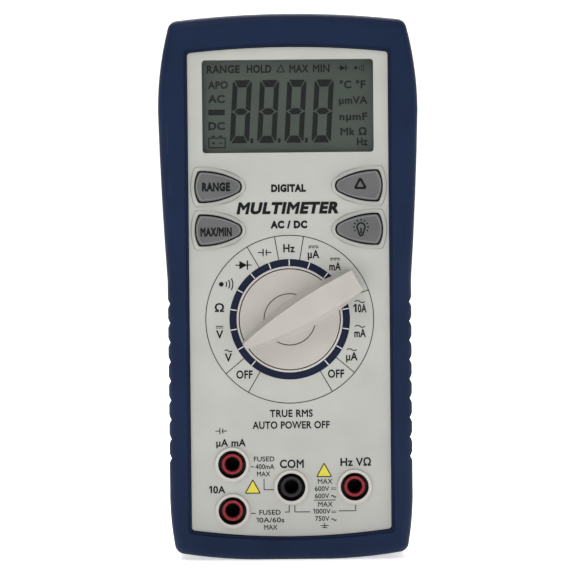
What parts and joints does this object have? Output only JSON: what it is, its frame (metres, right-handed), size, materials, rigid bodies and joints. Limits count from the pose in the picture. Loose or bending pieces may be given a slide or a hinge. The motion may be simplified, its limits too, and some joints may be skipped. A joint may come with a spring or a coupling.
{
  "type": "digital multimeter",
  "caption": "Handheld digital multimeter in a protective boot, with a rotary function switch, push buttons, shrouded input jacks and a tilt stand.",
  "frame": {"origin": "on the supporting surface, below the middle of the width and depth, with the meter standing on its lower end", "axes": "+Z from the input jacks to the display, -Y out of the front panel, +X to the right seen from the front"},
  "size_m": [0.0778, 0.044, 0.164],
  "materials": {
    "boot_rubber": "satin",
    "knob_plastic": "satin",
    "overlay_plastic": "satin",
    "case_plastic": "satin",
    "key_plastic": "satin",
    "silicone": "matte",
    "window_glass": "clear",
    "lcd_glass": "clear",
    "white_plastic": "satin",
    "red_plastic": "gloss",
    "black_plastic": "gloss",
    "brass": "bright",
    "board_laminate": "satin",
    "steel": "bright",
    "battery_jacket": "satin",
    "fuse_ceramic": "satin",
    "lead_red": "satin",
    "lead_black": "satin",
    "varistor_blue": "satin"
  },
  "bodies": {
    "meter": {"protective_boot": "boot_rubber", "front_case": "knob_plastic", "rear_case": "case_plastic", "panel_overlay": "overlay_plastic", "display_window": "window_glass", "lcd_glass": "lcd_glass", "lcd_frame": "white_plastic", "zebra_strip": "silicone", "backlight_panel": "white_plastic", "backlight_leds": "white_plastic", "keypad_sheet": "silicone", "range_dome": "steel", "max_min_dome": "steel", "relative_dome": "steel", "light_dome": "steel", "main_board": "board_laminate", "switch_tracks": "brass", "battery_cover": "case_plastic", "battery_cover_screw_1": "steel", "battery_cover_screw_2": "steel", "battery": "battery_jacket", "battery_terminals": "steel", "battery_snap": "black_plastic", "battery_lead_red": "lead_red", "battery_lead_black": "lead_black", "milliamp_fuse": "fuse_ceramic", "ten_amp_fuse": "fuse_ceramic", "fuse_clips": "steel", "buzzer": "black_plastic", "shunt_bar": "steel", "processor_chip": "black_plastic", "capacitor": "black_plastic", "varistor": "varistor_blue", "case_screw_1": "steel", "case_screw_2": "steel", "case_screw_3": "steel", "case_screw_4": "steel", "board_screw_1": "steel", "board_screw_2": "steel", "board_screw_3": "steel", "board_screw_4": "steel", "common_jack_sleeve": "black_plastic", "common_jack_contact": "brass", "volt_jack_sleeve": "red_plastic", "volt_jack_contact": "brass", "milliamp_jack_sleeve": "red_plastic", "milliamp_jack_contact": "brass", "ten_amp_jack_sleeve": "red_plastic", "ten_amp_jack_contact": "brass"},
    "knob": {"selector_knob": "knob_plastic", "switch_rotor": "white_plastic", "detent_ball": "steel", "detent_spring": "steel", "knob_screw": "steel", "wiper_clips": "brass"},
    "stand": {"tilt_stand": "case_plastic"},
    "range_key": {"range_button": "key_plastic"},
    "max_min_key": {"max_min_button": "key_plastic"},
    "relative_key": {"relative_button": "key_plastic"},
    "light_key": {"light_button": "key_plastic"}
  },
  "joints": [
    {"name": "selector_turn", "type": "hinge", "parent": "meter", "child": "knob", "pos_m": [0, -0.0155, 0.0724], "axis": [0, 1, 0], "range_deg": [-20, 260]},
    {"name": "stand_swing", "type": "hinge", "parent": "meter", "child": "stand", "pos_m": [0, 0.0198, 0.113], "axis": [1, 0, 0], "range_deg": [0, 40]},
    {"name": "range_press", "type": "slide", "parent": "meter", "child": "range_key", "axis": [0, 1, 0], "range_m": [0, 0.0008], "stiffness_N_per_m": 1500, "springref_m": -0.0005},
    {"name": "max_min_press", "type": "slide", "parent": "meter", "child": "max_min_key", "axis": [0, 1, 0], "range_m": [0, 0.0008], "stiffness_N_per_m": 1500, "springref_m": -0.0005},
    {"name": "relative_press", "type": "slide", "parent": "meter", "child": "relative_key", "axis": [0, 1, 0], "range_m": [0, 0.0008], "stiffness_N_per_m": 1500, "springref_m": -0.0005},
    {"name": "light_press", "type": "slide", "parent": "meter", "child": "light_key", "axis": [0, 1, 0], "range_m": [0, 0.0008], "stiffness_N_per_m": 1500, "springref_m": -0.0005}
  ]
}
